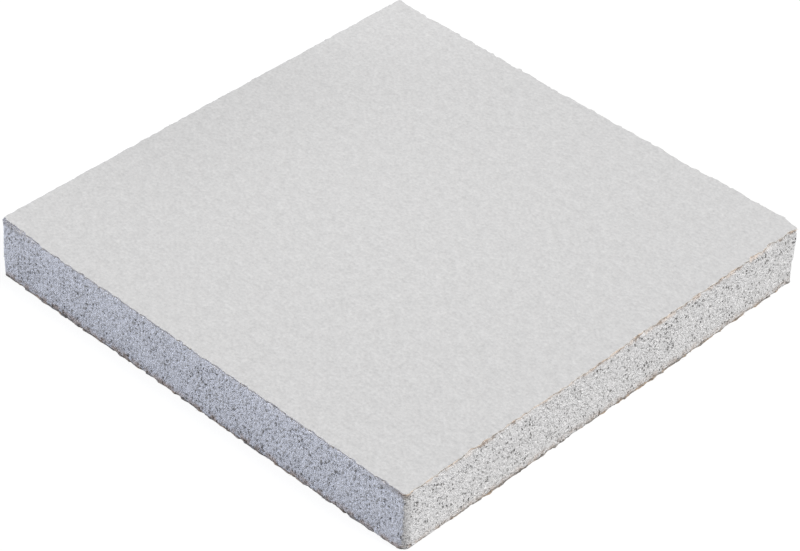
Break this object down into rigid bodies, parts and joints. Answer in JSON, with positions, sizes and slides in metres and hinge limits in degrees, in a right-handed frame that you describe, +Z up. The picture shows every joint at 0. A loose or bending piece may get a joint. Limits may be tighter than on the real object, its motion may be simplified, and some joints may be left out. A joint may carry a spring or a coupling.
{
  "type": "drywall sheet",
  "caption": "Square sample cut from a drywall sheet: foamed gypsum core between a light face paper and a brown back paper, with worn, torn edges.",
  "frame": {"origin": "centre of the underside of the sheet, on the floor", "axes": "+Z up through the thickness, from the back paper to the face paper; +X out of the leaning right cut face; -Y out of the front cut face"},
  "size_m": [0.0983, 0.0988, 0.0127],
  "materials": {
    "gypsum": "matt porous",
    "face_paper": "matt fibrous",
    "back_paper": "matt fibrous"
  },
  "bodies": {
    "root": {"gypsum_core": "gypsum", "face_paper": "face_paper", "back_paper": "back_paper"}
  },
  "joints": []
}
